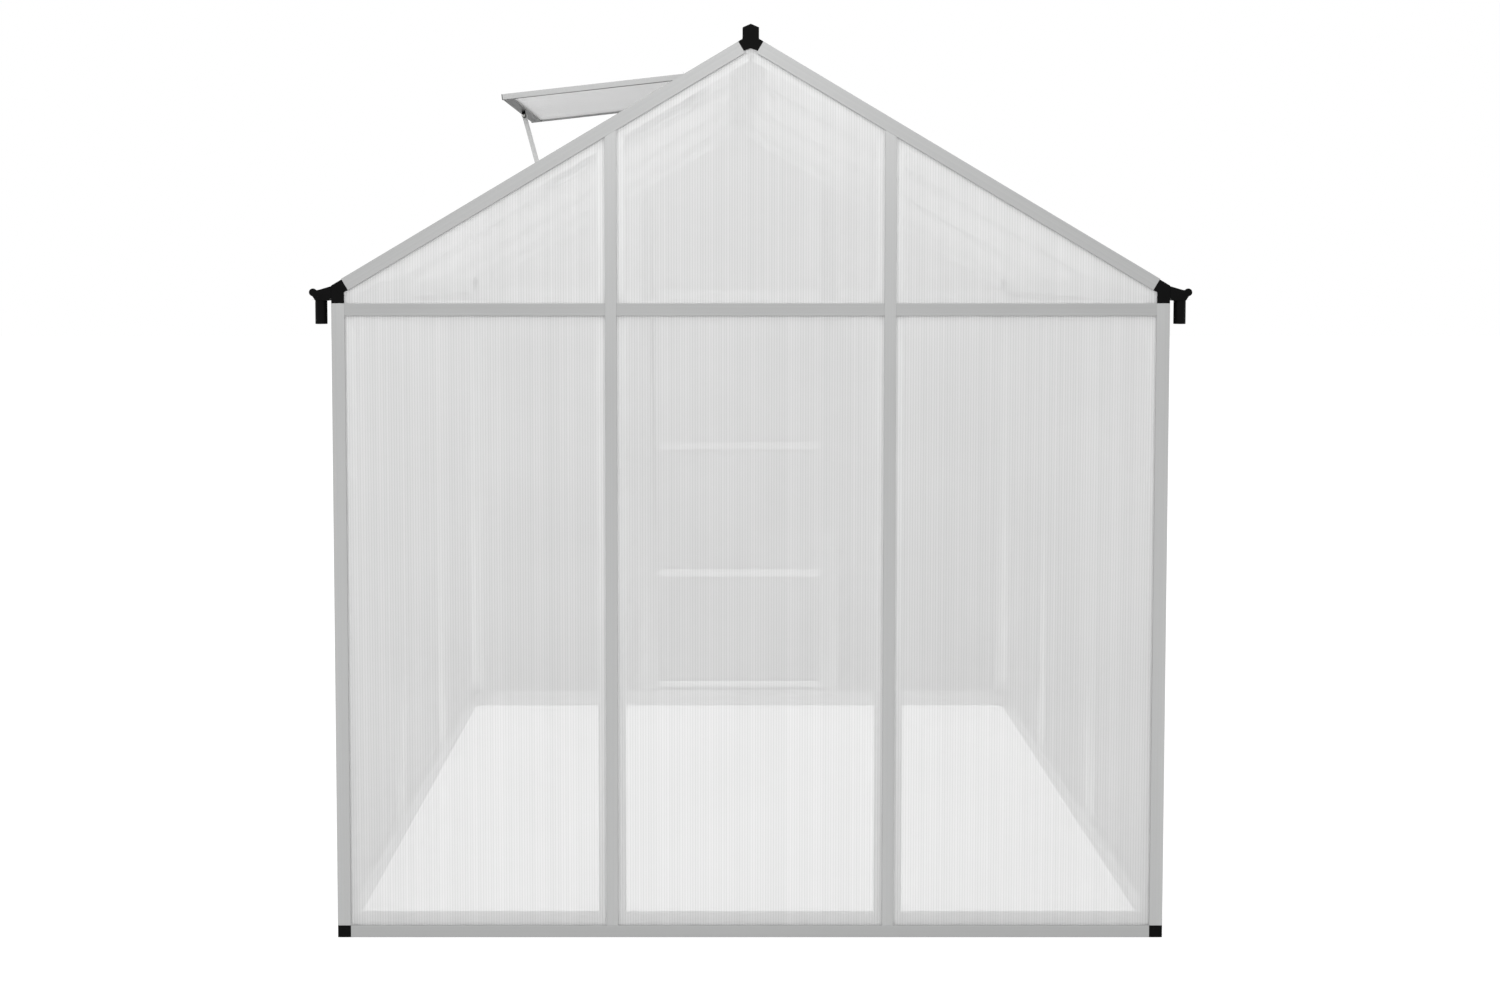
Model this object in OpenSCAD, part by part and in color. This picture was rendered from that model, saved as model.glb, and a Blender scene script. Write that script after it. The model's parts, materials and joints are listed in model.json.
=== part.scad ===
// Walk-in greenhouse: aluminium bars, twin-wall polycarbonate panels, black plastic connectors.
// Millimetres. X runs across the house, Y along it, Z up from the ground.
// The rear gable faces -Y, the door slides on the outside of the front gable at +Y.

/* [House] */
// Width over the corner posts
house_w = 1900; // [1700:10:2200]
// Length over the corner posts
house_l = 1900; // [1700:10:2200]
// Height of the post tops
post_h = 1462; // [1300:2:1700]
// Roof surface above the post tops at the wall face
eave_rise = 42; // [40:1:46]
// Roof pitch in degrees
roof_pitch = 30.7; // [28:0.1:33]

/* [Bars] */
// Outer lip and inner flange thickness
lip_t = 2; // [1.5:0.1:2.2]
// Depth of the face that the panels sit on
seat_d = 8.3; // [8.2:0.1:9]
// Depth of a bar from its outer face
stem_d = 23; // [20:1:26]
// Width of the lip on a bar between two panels
bar_lip_w = 26; // [22:1:28]
// Width of the web between two panels
bar_web_w = 10; // [8:1:12]
// Width of the inner flange on a bar between two panels
bar_flange_w = 64; // [56:1:70]
// Width of the hollow stem
bar_stem_w = 18; // [14:1:22]
// Side of the hollow core of a corner bar
core_w = 20; // [18:1:22]
// Reach of a corner bar's lips from the corner
corner_lip_w = 30; // [28:1:32]
// Reach of a corner bar's flanges from the corner
corner_flange_w = 49; // [44:1:50]
// Wall of the hollow bars
tube_t = 2; // [1.5:0.1:2.5]

/* [Base] */
// Height of the base rail's outer lip
base_lip_h = 28; // [24:1:32]
// Height of the base rail's hollow inner part
base_tube_h = 52; // [46:1:60]
// Side of a corner block
block_w = 30; // [30:1:34]

/* [Transoms and eaves] */
// Height of a transom's outer lip
transom_h = 28; // [24:1:32]
// Height of a transom's inner flange
transom_flange_h = 40; // [36:1:44]
// Depth of the eave beam from the wall face
eave_beam_d = 25; // [24:1:26]
// Depth of the eave beam's slot above the post tops
eave_slot_h = 8; // [6:1:10]
// Width of an eave connector's foot
connector_w = 28.5; // [28:0.5:30]
// Height of an eave connector's straight side
connector_side_h = 26; // [24:1:28]
// Depth of an eave connector's top below the roof line
connector_inset = 1.5; // [0:0.5:2]
// Where an eave connector meets the rafter, in from the wall face
connector_reach = 23; // [22:0.5:24]

/* [Ridge] */
// Height of the ridge beam's top above the roof line
ridge_top_h = 21; // [16:1:22]
// Half width of the ridge beam's box
ridge_box_half = 17; // [15:0.5:18]
// Fall of the box's top to its sides
ridge_box_fall = 8; // [6:1:10]
// Half width of the ridge beam's inner flanges
ridge_flange_half = 45; // [42:1:48]
// Depth of the ridge beam's hanging rib below the roof line
ridge_rib_d = 34; // [30:1:38]
// How much larger an end cap is than the box
cap_over = 1.5; // [1:0.5:2]
// Where an end cap meets the rafters, out from the centre
cap_reach = 28.4; // [27:0.2:30]
// Depth of an end cap's arms
cap_arm_d = 24; // [22:0.5:28]
// Rise of an end cap's underside to its centre
cap_notch_h = 6; // [4:0.5:8]

/* [Panels] */
// Thickness of a polycarbonate panel
panel_t = 6; // [5:0.1:6]
// Play between a panel's edge and the bar beside it
panel_play = 0.5; // [0.2:0.1:0.8]
// How far the roof panels pass the wall face
eave_over = 6; // [4:1:8]

/* [Gutters] */
// Width of a gutter from the wall face to its bead
gutter_w = 41.4; // [38:0.2:46]
// Underside of a gutter above the post tops
gutter_rise = 6; // [5:1:9]
// Width of a gutter's floor from the wall face
gutter_floor_w = 36; // [34:0.5:38]
// Chamfer at the back of a gutter's floor
gutter_chamfer = 7; // [5:0.5:8]
// Height of a gutter's back
gutter_back_h = 22; // [18:1:23]
// Height of the bead's centre above the underside
gutter_bead_h = 19; // [16:1:21]
// Radius of the bead
gutter_bead_r = 5; // [4:0.5:6]
// Wall of a gutter
gutter_t = 2; // [1.5:0.1:2.5]
// Length of an outlet piece
outlet_l = 30; // [30:1:40]
// Radius of the bulb on an outlet's end
outlet_bulb_r = 8.8; // [8:0.1:10]
// Wall of an outlet's end plate
outlet_end_t = 4; // [2:0.5:5]
// Top of an outlet's end plate below the roof line
outlet_drop = 3; // [2:0.5:5]
// Radius of a spout
spout_r = 13.5; // [12:0.5:14]
// Wall of a spout
spout_t = 2.5; // [2:0.5:3]
// Length of a spout below the gutter
spout_l = 53; // [40:1:70]
// Distance of a spout's centre from the wall face
spout_out = 26; // [22:0.5:26]

/* [Roof vent] */
// Distance of the hinge line from the ridge, along the slope
vent_hinge_s = 160.5; // [150:0.5:180]
// Length of the flap from the hinge line
vent_l = 431; // [400:1:450]
// Opening angle of the flap above the slope
vent_open = 24.3; // [20:0.1:30]
// Thickness of the flap's rails
vent_rail_t = 12.5; // [10:0.5:13]
// Width of the flap's end rails
vent_end_w = 24; // [20:1:28]
// Distance from the hinge line to the flap's first rail
vent_hinge_gap = 8; // [7:0.5:9]
// Lap of the flap's sides over the flanges beside it
vent_lap = 4; // [2:0.5:6]
// Half width of a trimmer's inner flange
trimmer_flange_half = 16; // [14:1:16]
// Radius of a hinge barrel
hinge_r = 5; // [4:0.5:5]
// Length of a hinge
hinge_l = 60; // [40:1:80]
// Thickness of a hinge's leaf
hinge_leaf_t = 2; // [1.5:0.5:3]
// Width of the vent stay
stay_w = 11; // [9:0.5:12]
// Thickness of the vent stay
stay_t = 4; // [3:0.5:6]
// Radius of the stay's pivots
pivot_r = 5; // [4:0.5:6]
// Distance of a pivot's centre from what it stands on
pivot_drop = 10; // [8:0.5:12]
// Length of the stay's pivots
pivot_l = 14; // [12:1:18]
// Width of a pivot's foot as a share of its barrel
pivot_foot_share = 0.8; // [0.6:0.05:0.9]

/* [Door] */
// Lap of the door leaf past the middle of each door post
door_lap = 13.5; // [10:0.5:20]
// Underside of the door leaf above the ground
door_z = 14; // [13:1:18]
// Top of the door leaf below the post tops
door_drop = 36; // [34:1:40]
// Gap between the wall face and the door leaf
door_gap = 6; // [6:0.5:8]
// Thickness of the door leaf
door_t = 16; // [14:1:18]
// Width of the door's stiles, top rail and bars
door_bar_w = 28; // [24:1:32]
// Height of the door's bottom rail
door_foot_h = 66; // [60:1:70]
// Heights of the door's two bars as shares of the leaf's height
door_bar_shares = [0.32, 0.64];
// Distance of the track's and guide's ends from the wall's corner
track_inset = 20; // [15:1:30]
// Depth of the track's shelf
track_d = 12; // [11:0.5:13]
// Height of the track's running lip above the post tops
track_lip_h = 11; // [10:1:14]
// Thickness of the track
track_t = 2.5; // [2:0.1:3]
// Radius of a door roller
roller_r = 14; // [12:1:16]
// Thickness of a door roller
roller_t = 7; // [6:0.5:8]
// Radius of a roller's axle as a share of the roller's
axle_share = 0.35; // [0.25:0.05:0.45]
// Clearance between a roller and the track
roller_play = 0.5; // [0.3:0.1:0.8]
// Clearance between the door's hangers and the track
hanger_gap = 5; // [5:0.5:6]
// Width of a door hanger
hanger_w = 40; // [30:1:50]
// Thickness of a door hanger
hanger_t = 3; // [2:0.5:4]
// Distance of a hanger from the door's middle
hanger_x = 250; // [200:5:280]
// Depth of the lower guide
guide_d = 30; // [29:1:33]
// Height of the lower guide's outer lip
guide_lip_h = 16; // [14:1:20]
// Length of the handle
handle_l = 150; // [120:5:200]
// Radius of the handle's grip
handle_r = 6; // [5:0.5:7]
// Distance of the grip's centre from the leaf
handle_out = 16; // [14:1:20]
// Height of the handle's middle as a share of the leaf's height
handle_share = 0.7; // [0.6:0.05:0.8]

/* [Hidden] */
$fn = 48;
// Overrun of every cut
cut = 1;
sides = [-1, 1];
bay_count = 3;
half_w = house_w / 2;
half_l = house_l / 2;
// The door stands off the front, so the house sits back by half of that
door_reach = door_gap + door_t + handle_out + handle_r;
mid_y = -door_reach / 2;
eave_z = post_h + eave_rise;
ridge_z = eave_z + half_w * tan(roof_pitch);
slope_l = half_w / cos(roof_pitch);
panel_top_d = lip_t + (seat_d - lip_t - panel_t) / 2;
panel_low_d = panel_top_d + panel_t;
flange_d = seat_d + lip_t;
post_x = house_w / bay_count / 2;
post_y = house_l / bay_count / 2;
transom_z = post_h - transom_h;
transom_mid = post_h - transom_h / 2;
web_half = bar_web_w / 2;
connector_s = connector_reach / cos(roof_pitch);
cap_s = (half_w - cap_reach) / cos(roof_pitch);
panel_end_s = (half_w - web_half - panel_play) / cos(roof_pitch) - seat_d * tan(roof_pitch);
gutter_z = post_h + gutter_rise;
sill_s = slope_l - vent_hinge_s - vent_l;
head_s = slope_l - vent_hinge_s + hinge_r + bar_lip_w / 2;
hinge_s = slope_l - vent_hinge_s;
vent_y0 = corner_flange_w - vent_lap - half_l;
vent_y1 = vent_lap - bar_flange_w / 2 - post_y;
vent_mid_y = (vent_y0 + vent_y1) / 2;
door_w = (post_x + door_lap) * 2;
door_top = post_h - door_drop;
door_h = door_top - door_z;

// Roof height over the wall at a distance in from the wall face, at a depth below the surface
function roof_z(u, n) = eave_z + u * tan(roof_pitch) - n / cos(roof_pitch);
// Distance up the slope of a vertical line, at a depth below the surface
function slope_at(u, n) = u / cos(roof_pitch) - n * tan(roof_pitch);
// Point of the gable plane at a distance up the slope and a depth below it, seen from the wall face
function slope_point(s, n) = [
    s * cos(roof_pitch) + n * sin(roof_pitch),
    eave_z + s * sin(roof_pitch) - n * cos(roof_pitch)
];
function from_centre(point) = [point[0] - half_w, point[1]];
function mirrored(points) = [for (p = points) [-p[0], p[1]]];
function reversed(points) = [for (i = [len(points) - 1 : -1 : 0]) points[i]];

// Block between two corners
module block(x0, x1, y0, y1, z0, z1) {
    translate([x0, y0, z0])
        cube([x1 - x0, y1 - y0, z1 - z0]);
}

// Outline in X and Z, drawn out in Y
module plate(points, y0, y1) {
    translate([0, y1, 0])
        rotate([90, 0, 0])
            linear_extrude(height = y1 - y0)
                polygon(points);
}

// Outline in Y and Z, drawn out in X
module run(points, x0, x1) {
    translate([x0, 0, 0])
        rotate([90, 0, 90])
            linear_extrude(height = x1 - x0)
                polygon(points);
}

// Gable wall: Y counts in from the outer face, end is -1 at the rear and 1 at the front
module at_gable(end) {
    translate([0, mid_y + end * half_l, 0])
        mirror([0, end > 0 ? 1 : 0, 0])
            children();
}

// Side wall: X runs along the wall, Y counts in from the outer face
module at_side(side) {
    translate([0, mid_y, 0])
        rotate([0, 0, 90 * side])
            translate([0, -half_w, 0])
                children();
}

// Roof slope: X runs up the slope from the wall face, Y along the house, Z out of the roof
module at_slope(side) {
    mirror([side > 0 ? 1 : 0, 0, 0])
        translate([-half_w, mid_y, eave_z])
            rotate([0, -roof_pitch, 0])
                children();
}

// Flap: X runs back from the tip to the hinge line, Z out of the flap
module at_flap() {
    at_slope(-1)
        translate([hinge_s, 0, 0])
            rotate([0, vent_open, 0])
                children();
}

// Corner section along Z with its corner at the origin
module corner_bar(z0, z1, flange_z0) {
    difference() {
        block(0, core_w, 0, core_w, z0, z1);
        block(tube_t, core_w - tube_t, tube_t, core_w - tube_t, z0 - cut, z1 + cut);
    }
    block(core_w, corner_lip_w, 0, lip_t, z0, z1);
    block(0, lip_t, core_w, corner_lip_w, z0, z1);
    block(core_w, corner_flange_w, seat_d, flange_d, flange_z0, z1);
    block(seat_d, flange_d, core_w, corner_flange_w, flange_z0, z1);
}

// Base rail of one wall, as long as the wall given
module base_rail(wall_l) {
    half = wall_l / 2;
    lip_end = half - block_w;
    tube_end = half - corner_flange_w;
    block(-lip_end, lip_end, 0, lip_t, 0, base_lip_h);
    block(-lip_end, lip_end, lip_t, stem_d, 0, lip_t);
    difference() {
        block(-tube_end, tube_end, seat_d, stem_d, 0, base_tube_h);
        block(
            -tube_end - cut, tube_end + cut,
            seat_d + tube_t, stem_d - tube_t, tube_t, base_tube_h - tube_t
        );
    }
}

module base_rail_rear() {
    color("silver") at_gable(-1) base_rail(house_w);
}

module base_rail_front() {
    color("silver") at_gable(1) base_rail(house_w);
}

module base_rail_left() {
    color("silver") at_side(-1) base_rail(house_l);
}

module base_rail_right() {
    color("silver") at_side(1) base_rail(house_l);
}

// Block under each corner post, slotted for the panels beside it
module base_corner_blocks() {
    slot = seat_d + panel_play;
    color("black")
        for (side = sides, end = sides)
            at_gable(end)
                mirror([side > 0 ? 1 : 0, 0, 0])
                    translate([-half_w, 0, 0])
                        difference() {
                            block(0, block_w, 0, block_w, 0, base_lip_h);
                            block(core_w, block_w + cut, lip_t, slot, lip_t, base_lip_h + cut);
                            block(lip_t, slot, core_w, block_w + cut, lip_t, base_lip_h + cut);
                        }
}

module corner_posts() {
    color("silver")
        for (side = sides, end = sides)
            at_gable(end)
                mirror([side > 0 ? 1 : 0, 0, 0])
                    translate([-half_w, 0, 0])
                        corner_bar(base_lip_h, post_h, base_lip_h);
}

// Gable post beside the wall's middle, cut to the slope at its top
module gable_post(side) {
    wall_u = half_w - post_x;
    mirror([side > 0 ? 1 : 0, 0, 0])
        translate([-half_w, 0, 0]) {
            post_layer(wall_u, bar_lip_w, 0, lip_t, base_lip_h, corner_lip_w);
            post_layer(wall_u, bar_web_w, lip_t, seat_d, lip_t, core_w);
            post_layer(wall_u, bar_flange_w, seat_d, flange_d, base_tube_h, corner_flange_w);
            difference() {
                post_layer(wall_u, bar_stem_w, flange_d, stem_d, base_tube_h, corner_flange_w);
                block(
                    wall_u - bar_stem_w / 2 + tube_t, wall_u + bar_stem_w / 2 - tube_t,
                    flange_d + cut, stem_d - tube_t, base_tube_h - cut, ridge_z
                );
            }
        }
}

// One layer of a gable post: its width, depths, foot and depth of its top under the roof
module post_layer(wall_u, w, d0, d1, z0, n) {
    u0 = wall_u - w / 2;
    u1 = wall_u + w / 2;
    plate([[u0, z0], [u1, z0], [u1, roof_z(u1, n)], [u0, roof_z(u0, n)]], d0, d1);
}

module rear_gable_posts() {
    color("silver")
        for (side = sides)
            at_gable(-1) gable_post(side);
}

module front_door_posts() {
    color("silver")
        for (side = sides)
            at_gable(1) gable_post(side);
}

// Posts of one side wall, under the eave beam
module side_posts() {
    for (x = [-post_y, post_y]) {
        block(x - bar_lip_w / 2, x + bar_lip_w / 2, 0, lip_t, base_lip_h, transom_z);
        block(x - web_half, x + web_half, lip_t, seat_d, lip_t, post_h);
        block(x - bar_flange_w / 2, x + bar_flange_w / 2, seat_d, flange_d, base_tube_h, post_h);
        difference() {
            block(x - bar_stem_w / 2, x + bar_stem_w / 2, flange_d, stem_d, base_tube_h, post_h);
            block(
                x - bar_stem_w / 2 + tube_t, x + bar_stem_w / 2 - tube_t,
                flange_d + cut, stem_d - tube_t, base_tube_h - cut, post_h + cut
            );
        }
    }
}

module left_wall_posts() {
    color("silver") at_side(-1) side_posts();
}

module right_wall_posts() {
    color("silver") at_side(1) side_posts();
}

// Transom from one bar to the next: ends of its lip, web and flange
module transom(lip_x, web_x, flange_x) {
    flange_half = transom_flange_h / 2;
    block(lip_x[0], lip_x[1], 0, lip_t, transom_z, post_h);
    block(web_x[0], web_x[1], lip_t, seat_d, transom_mid - web_half, transom_mid + web_half);
    block(flange_x[0], flange_x[1], seat_d, flange_d, transom_mid - flange_half, transom_mid + flange_half);
}

// Transoms of one gable
module gable_transoms() {
    lip_x = post_x - bar_lip_w / 2;
    web_x = post_x - web_half;
    flange_x = post_x - bar_flange_w / 2;
    transom([-lip_x, lip_x], [-web_x, web_x], [-flange_x, flange_x]);
    for (side = sides)
        mirror([side > 0 ? 1 : 0, 0, 0])
            transom(
                [corner_lip_w - half_w, -post_x - bar_lip_w / 2],
                [core_w - half_w, -post_x - web_half],
                [corner_flange_w - half_w, -post_x - bar_flange_w / 2]
            );
}

module rear_transoms() {
    color("silver") at_gable(-1) gable_transoms();
}

module front_transoms() {
    color("silver") at_gable(1) gable_transoms();
}

// Eave beam: slot for the wall panels below, seat for the roof panels above
module eave_beam() {
    slot_z = post_h + eave_slot_h;
    run_half = half_l - core_w;
    lip_half = half_l - corner_lip_w;
    inner_u = [seat_d + tube_t, eave_beam_d - tube_t];
    outline = [
        [0, slot_z], [seat_d, slot_z], [seat_d, post_h], [eave_beam_d, post_h],
        [eave_beam_d, roof_z(eave_beam_d, seat_d)], [0, roof_z(0, seat_d)]
    ];
    hollow = [
        [inner_u[0], post_h + tube_t], [inner_u[1], post_h + tube_t],
        [inner_u[1], roof_z(inner_u[1], seat_d + tube_t)], [inner_u[0], roof_z(inner_u[0], seat_d + tube_t)]
    ];
    difference() {
        run(outline, -run_half, run_half);
        run(hollow, -run_half - cut, run_half + cut);
    }
    block(-lip_half, lip_half, 0, lip_t, transom_z, slot_z + lip_t);
}

module left_eave_beam() {
    color("silver") at_side(-1) eave_beam();
}

module right_eave_beam() {
    color("silver") at_side(1) eave_beam();
}

// Trough of a gutter or an outlet between two points of the wall, outside the wall face
module trough(x0, x1) {
    bead_z = gutter_z + gutter_bead_h;
    front = -gutter_w - gutter_t / 2;
    outline = [
        [0, gutter_z + gutter_chamfer], [-gutter_chamfer, gutter_z], [-gutter_floor_w, gutter_z],
        [front, bead_z], [front + gutter_t, bead_z],
        [gutter_t - gutter_floor_w, gutter_z + gutter_t],
        [-gutter_chamfer - gutter_t / 2, gutter_z + gutter_t],
        [-gutter_t, gutter_z + gutter_chamfer + gutter_t / 2],
        [-gutter_t, gutter_z + gutter_back_h], [0, gutter_z + gutter_back_h]
    ];
    run(outline, x0, x1);
    bead(x0, x1, gutter_bead_r);
}

// Round edge along the front of a trough
module bead(x0, x1, r) {
    translate([x0, -gutter_w, gutter_z + gutter_bead_h])
        rotate([0, 90, 0])
            cylinder(r = r, h = x1 - x0);
}

module gutter() {
    run_half = half_l - outlet_l;
    trough(-run_half, run_half);
}

module left_gutter() {
    color("silver") at_side(-1) gutter();
}

module right_gutter() {
    color("silver") at_side(1) gutter();
}

// Connector on each corner post, meeting the rafter square to the slope
module eave_connectors() {
    face = [
        slope_point(connector_s, corner_lip_w - connector_inset),
        slope_point(connector_s, connector_inset)
    ];
    outline = [
        [0, post_h], [connector_w, post_h], [connector_w, post_h + connector_side_h],
        face[0], face[1], [0, roof_z(0, connector_inset)]
    ];
    color("black")
        for (side = sides, end = sides)
            at_gable(end)
                mirror([side > 0 ? 1 : 0, 0, 0])
                    translate([-half_w, 0, 0])
                        plate(outline, 0, core_w);
}

// Outlet at each end of both gutters: end plate, trough and spout
module gutter_outlets() {
    bead_z = gutter_z + gutter_bead_h;
    end_outline = [
        [0, gutter_z + gutter_chamfer], [0, eave_z - outlet_drop],
        [outlet_bulb_r - gutter_w, bead_z + outlet_bulb_r / 2], [-gutter_w, bead_z],
        [-gutter_w - outlet_bulb_r / 2, bead_z - outlet_bulb_r / 2],
        [-gutter_floor_w, gutter_z], [-gutter_chamfer, gutter_z]
    ];
    color("black")
        for (side = sides, end = sides)
            at_side(side)
                mirror([end > 0 ? 1 : 0, 0, 0])
                    translate([-half_l, 0, 0]) {
                        run(end_outline, 0, outlet_end_t);
                        bead(0, outlet_end_t, outlet_bulb_r);
                        difference() {
                            trough(0, outlet_l);
                            translate([outlet_l / 2, -spout_out, gutter_z - cut])
                                cylinder(r = spout_r - spout_t, h = gutter_t + cut + cut);
                        }
                        translate([outlet_l / 2, -spout_out, gutter_z - spout_l])
                            difference() {
                                cylinder(r = spout_r, h = spout_l);
                                translate([0, 0, -cut])
                                    cylinder(r = spout_r - spout_t, h = spout_l + cut + cut);
                            }
                    }
}

// Rafter along the rear edge of one slope
module edge_rafter() {
    flange_end = slope_at(half_w - ridge_flange_half - panel_play, flange_d);
    y0 = -half_l;
    difference() {
        block(connector_s, cap_s, y0, y0 + core_w, -core_w, 0);
        block(connector_s - cut, cap_s + cut, y0 + tube_t, y0 + core_w - tube_t, tube_t - core_w, -tube_t);
    }
    block(connector_s, cap_s, y0, y0 + lip_t, -corner_lip_w, -core_w);
    block(connector_s, cap_s, y0 + core_w, y0 + corner_lip_w, -lip_t, 0);
    block(connector_s, cap_s, y0 + seat_d, y0 + flange_d, -corner_flange_w, -core_w);
    block(connector_s, flange_end, y0 + core_w, y0 + corner_flange_w, -flange_d, -seat_d);
}

module rear_rafters() {
    color("silver")
        for (side = sides)
            at_slope(side) edge_rafter();
}

module front_rafters() {
    color("silver")
        for (side = sides)
            at_slope(side) mirror([0, 1, 0]) edge_rafter();
}

// One layer of a roof bar: its place, width, depths and its ends in from the wall face
module bar_layer(y, w, n0, n1, u0, u1) {
    outline = [
        [slope_at(u0, n0), -n0], [slope_at(u1, n0), -n0],
        [slope_at(u1, n1), -n1], [slope_at(u0, n1), -n1]
    ];
    plate(outline, y - w / 2, y + w / 2);
}

// Roof bars of one slope, over the side posts
module roof_bars() {
    low_end = half_w - ridge_flange_half;
    for (y = [-post_y, post_y]) {
        bar_layer(y, bar_lip_w, 0, lip_t, -eave_over, half_w - ridge_box_half);
        bar_layer(y, bar_web_w, lip_t, seat_d, -eave_over, half_w - web_half);
        bar_layer(y, bar_flange_w, seat_d, flange_d, eave_beam_d, low_end);
        difference() {
            bar_layer(y, bar_stem_w, flange_d, stem_d, eave_beam_d, low_end);
            bar_layer(y, bar_stem_w - tube_t * 2, flange_d + cut, stem_d - tube_t, 0, half_w);
        }
    }
}

module left_roof_bars() {
    color("silver") at_slope(-1) roof_bars();
}

module right_roof_bars() {
    color("silver") at_slope(1) roof_bars();
}

// Roof height out from the ridge, at a depth below the surface
function ridge_fall(x, n) = roof_z(half_w - x, n);

// Ridge beam: box on top, lips and flanges that hold the roof panels, rib below
module ridge_beam() {
    top = ridge_z + ridge_top_h;
    side_z = top - ridge_box_fall;
    half = [
        [ridge_box_half, side_z], [ridge_box_half, ridge_fall(ridge_box_half, lip_t)],
        [web_half, ridge_fall(web_half, lip_t)], [web_half, ridge_fall(web_half, seat_d)],
        [ridge_flange_half, ridge_fall(ridge_flange_half, seat_d)],
        [ridge_flange_half, ridge_fall(ridge_flange_half, flange_d)],
        [web_half, ridge_fall(web_half, flange_d)], [web_half, ridge_z - ridge_rib_d]
    ];
    hollow_half = ridge_box_half - tube_t;
    hollow = [
        [-hollow_half, side_z - tube_t], [0, top - tube_t], [hollow_half, side_z - tube_t],
        [hollow_half, ridge_z], [-hollow_half, ridge_z]
    ];
    run_half = half_l - core_w;
    color("silver")
        translate([0, mid_y, 0])
            difference() {
                plate(concat([[0, top]], half, reversed(mirrored(half))), -run_half, run_half);
                plate(hollow, -run_half - cut, run_half + cut);
            }
}

// Cap on each end of the ridge, between the two rafters
module ridge_caps() {
    box_half = ridge_box_half + cap_over;
    top = ridge_z + ridge_top_h + cap_over;
    face = [from_centre(slope_point(cap_s, 0)), from_centre(slope_point(cap_s, cap_arm_d))];
    half = [
        [box_half, top - ridge_box_fall], [box_half, ridge_fall(box_half, 0)],
        [-face[0][0], face[0][1]], [-face[1][0], face[1][1]]
    ];
    outline = concat([[0, top]], half, [[0, face[1][1] + cap_notch_h]], reversed(mirrored(half)));
    color("black")
        for (end = sides)
            at_gable(end) plate(outline, 0, core_w);
}

// Bars above and below the vent opening, from the edge rafter to the first roof bar
module vent_trimmers() {
    color("silver")
        at_slope(-1)
            for (s = [sill_s, head_s]) {
                block(
                    s - bar_lip_w / 2, s + bar_lip_w / 2,
                    corner_lip_w - half_l, -post_y - bar_lip_w / 2, -lip_t, 0
                );
                block(s - web_half, s + web_half, core_w - half_l, -post_y - web_half, -seat_d, -lip_t);
                block(
                    s - trimmer_flange_half, s + trimmer_flange_half,
                    corner_flange_w - half_l, -post_y - bar_flange_w / 2, -flange_d, -seat_d
                );
            }
}

module vent_side_rails() {
    color("silver")
        at_flap() {
            block(-vent_l, -vent_hinge_gap, vent_y0, vent_y0 + vent_rail_t, -vent_rail_t, 0);
            block(-vent_l, -vent_hinge_gap, vent_y1 - vent_rail_t, vent_y1, -vent_rail_t, 0);
        }
}

module vent_end_rails() {
    color("silver")
        at_flap()
            for (x = [-vent_l, -vent_hinge_gap - vent_end_w])
                block(x, x + vent_end_w, vent_y0 + vent_rail_t, vent_y1 - vent_rail_t, -vent_rail_t, 0);
}

module vent_pane() {
    edge = (vent_rail_t - panel_t) / 2;
    color("white")
        at_flap()
            block(
                vent_end_w - vent_l, -vent_hinge_gap - vent_end_w,
                vent_y0 + vent_rail_t, vent_y1 - vent_rail_t, -edge - panel_t, -edge
            );
}

// Where the stay's pivots lie: under the flap's tip rail and on the sill bar
module at_stay_top() {
    at_flap()
        translate([vent_end_w / 2 - vent_l, vent_mid_y, -vent_rail_t - pivot_drop])
            children();
}

module at_stay_foot() {
    at_slope(-1)
        translate([sill_s, vent_mid_y, pivot_drop])
            children();
}

module pivot() {
    rotate([90, 0, 0])
        cylinder(r = pivot_r, h = pivot_l, center = true);
}

// Pivots of the stay and hinges of the flap
module vent_pivots() {
    leaf_l = hinge_r + bar_lip_w / 2;
    hinge_ys = [vent_y0 + hinge_l, vent_y1 - hinge_l];
    foot = pivot_r * pivot_foot_share;
    knuckle = hinge_r * pivot_foot_share;
    color("black") {
        at_stay_top() {
            pivot();
            block(-foot, foot, -pivot_l / 2, pivot_l / 2, 0, pivot_drop);
        }
        at_stay_foot() {
            pivot();
            block(-foot, foot, -pivot_l / 2, pivot_l / 2, -pivot_drop, 0);
        }
        for (y = hinge_ys) {
            at_slope(-1) {
                translate([hinge_s, y, 0])
                    rotate([90, 0, 0])
                        cylinder(r = hinge_r, h = hinge_l, center = true);
                block(hinge_s, hinge_s + leaf_l, y - hinge_l / 2, y + hinge_l / 2, 0, hinge_leaf_t);
            }
            at_flap()
                block(-vent_hinge_gap, 0, y - hinge_l / 2, y + hinge_l / 2, -knuckle, knuckle - hinge_leaf_t);
        }
    }
}

// Flat link against the sides of its two pivots
module vent_stay() {
    tip_angle = roof_pitch - vent_open;
    tip_x = vent_l - vent_end_w / 2;
    tip_z = vent_rail_t + pivot_drop;
    hinge_at = from_centre(slope_point(hinge_s, 0));
    foot_at = from_centre(slope_point(sill_s, -pivot_drop));
    top_at = [
        hinge_at[0] - tip_x * cos(tip_angle) + tip_z * sin(tip_angle),
        hinge_at[1] - tip_x * sin(tip_angle) - tip_z * cos(tip_angle)
    ];
    reach = top_at - foot_at;
    color("silver")
        translate([foot_at[0], mid_y + vent_mid_y + pivot_l / 2, foot_at[1]])
            rotate([0, atan2(reach[0], reach[1]), 0]) {
                translate([-stay_w / 2, 0, 0])
                    cube([stay_w, stay_t, norm(reach)]);
                for (z = [0, norm(reach)])
                    translate([0, stay_t, z])
                        rotate([90, 0, 0])
                            cylinder(r = stay_w / 2, h = stay_t);
            }
}

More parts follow.
